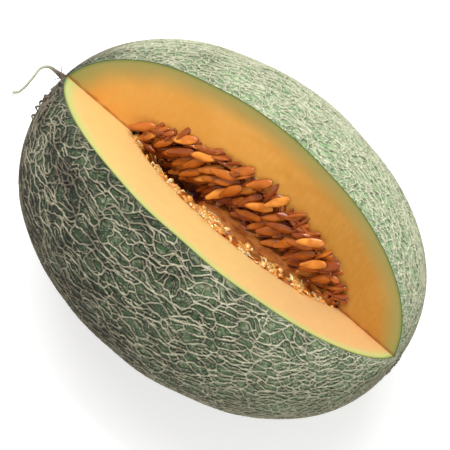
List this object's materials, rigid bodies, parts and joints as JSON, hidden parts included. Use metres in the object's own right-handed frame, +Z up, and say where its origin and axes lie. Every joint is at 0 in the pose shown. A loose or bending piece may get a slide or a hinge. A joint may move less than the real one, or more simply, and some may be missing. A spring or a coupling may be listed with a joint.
{
  "type": "cantaloupe melon",
  "caption": "Netted oval cantaloupe melon lying on its side, with a lengthways wedge cut out of its top to show flesh, pulp and seeds, and a dry curled stem.",
  "frame": {"origin": "centre of the small flat spot under the melon that it rests on", "axes": "+X along the melon from the stem end to the blossom end, +Z up through the cut-out wedge, +Y towards the side of the wider cut face"},
  "size_m": [0.2001, 0.14, 0.1344],
  "materials": {
    "rind_and_flesh": "green netted rind outside, wet orange flesh on the cut faces",
    "pulp": "wet, stringy, orange brown",
    "seed": "wet amber brown",
    "stem": "dry, fibrous, pale grey green"
  },
  "bodies": {
    "root": {"fruit": "rind_and_flesh", "pulp": "pulp", "stem": "stem", "seed_01": "seed", "seed_02": "seed", "seed_03": "seed", "seed_04": "seed", "seed_05": "seed", "seed_06": "seed", "seed_07": "seed", "seed_08": "seed", "seed_09": "seed", "seed_10": "seed", "seed_11": "seed", "seed_12": "seed", "seed_13": "seed", "seed_14": "seed", "seed_15": "seed", "seed_16": "seed", "seed_17": "seed", "seed_18": "seed", "seed_19": "seed", "seed_20": "seed", "seed_21": "seed", "seed_22": "seed", "seed_23": "seed", "seed_24": "seed", "seed_25": "seed", "seed_26": "seed", "seed_27": "seed", "seed_28": "seed", "seed_29": "seed", "seed_30": "seed", "seed_31": "seed", "seed_32": "seed", "seed_33": "seed", "seed_34": "seed", "seed_35": "seed", "seed_36": "seed", "seed_37": "seed", "seed_38": "seed", "seed_39": "seed", "seed_40": "seed", "seed_41": "seed", "seed_42": "seed", "seed_43": "seed", "seed_44": "seed", "seed_45": "seed", "seed_46": "seed", "seed_47": "seed", "seed_48": "seed", "seed_49": "seed", "seed_50": "seed", "seed_51": "seed", "seed_52": "seed", "seed_53": "seed", "seed_54": "seed"}
  },
  "joints": []
}
